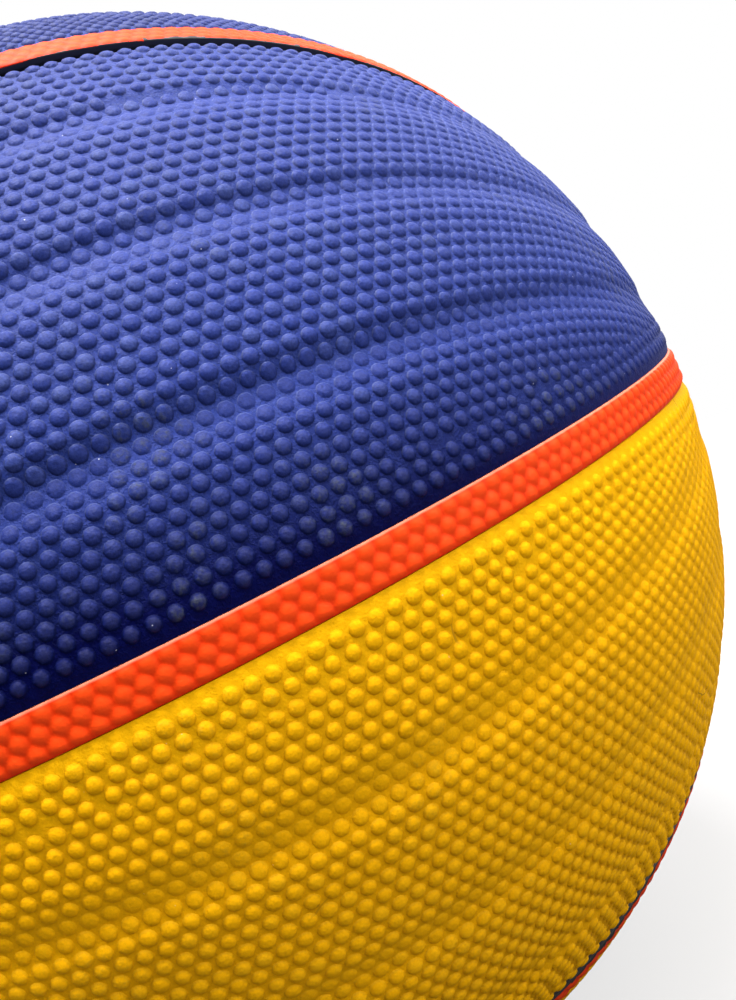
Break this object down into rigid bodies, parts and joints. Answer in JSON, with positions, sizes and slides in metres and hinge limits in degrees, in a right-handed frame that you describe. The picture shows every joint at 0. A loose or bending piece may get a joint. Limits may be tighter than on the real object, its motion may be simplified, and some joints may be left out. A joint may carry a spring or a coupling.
{
  "type": "basketball",
  "caption": "Inflated basketball with a pebbled rubber cover in blue and yellow panels, orange strips laid in its seams, black carcass, bladder and needle valve.",
  "frame": {"origin": "centre of the ball", "axes": "+Z to the crown of the blue half, normal to the main seam's plane; +Y normal to the cross seam's plane, away from the front; +X along the oval seams' long axis"},
  "size_m": [0.231, 0.2316, 0.2318],
  "materials": {
    "blue_rubber": "pebbled, matt",
    "yellow_rubber": "pebbled, matt",
    "orange_rubber": "pebbled, matt",
    "black_rubber": "matt",
    "nylon_thread": "wound thread",
    "bladder_rubber": "smooth butyl",
    "valve_rubber": "smooth"
  },
  "bodies": {
    "root": {"bladder": "bladder_rubber", "valve_patch": "bladder_rubber", "valve_body": "valve_rubber", "valve_core": "valve_rubber", "thread_winding": "nylon_thread", "upper_carcass_half": "black_rubber", "lower_carcass_half": "black_rubber", "blue_front_outer_panel": "blue_rubber", "blue_back_outer_panel": "blue_rubber", "blue_front_crown_panel": "blue_rubber", "blue_back_crown_panel": "blue_rubber", "yellow_front_outer_panel": "yellow_rubber", "yellow_back_outer_panel": "yellow_rubber", "yellow_front_crown_panel": "yellow_rubber", "yellow_back_crown_panel": "yellow_rubber", "main_seam_strip": "orange_rubber", "upper_oval_strip": "orange_rubber", "lower_oval_strip": "orange_rubber", "upper_crown_strip": "orange_rubber", "lower_crown_strip": "orange_rubber", "upper_right_strip": "orange_rubber", "upper_left_strip": "orange_rubber", "lower_right_strip": "orange_rubber", "lower_left_strip": "orange_rubber"}
  },
  "joints": []
}
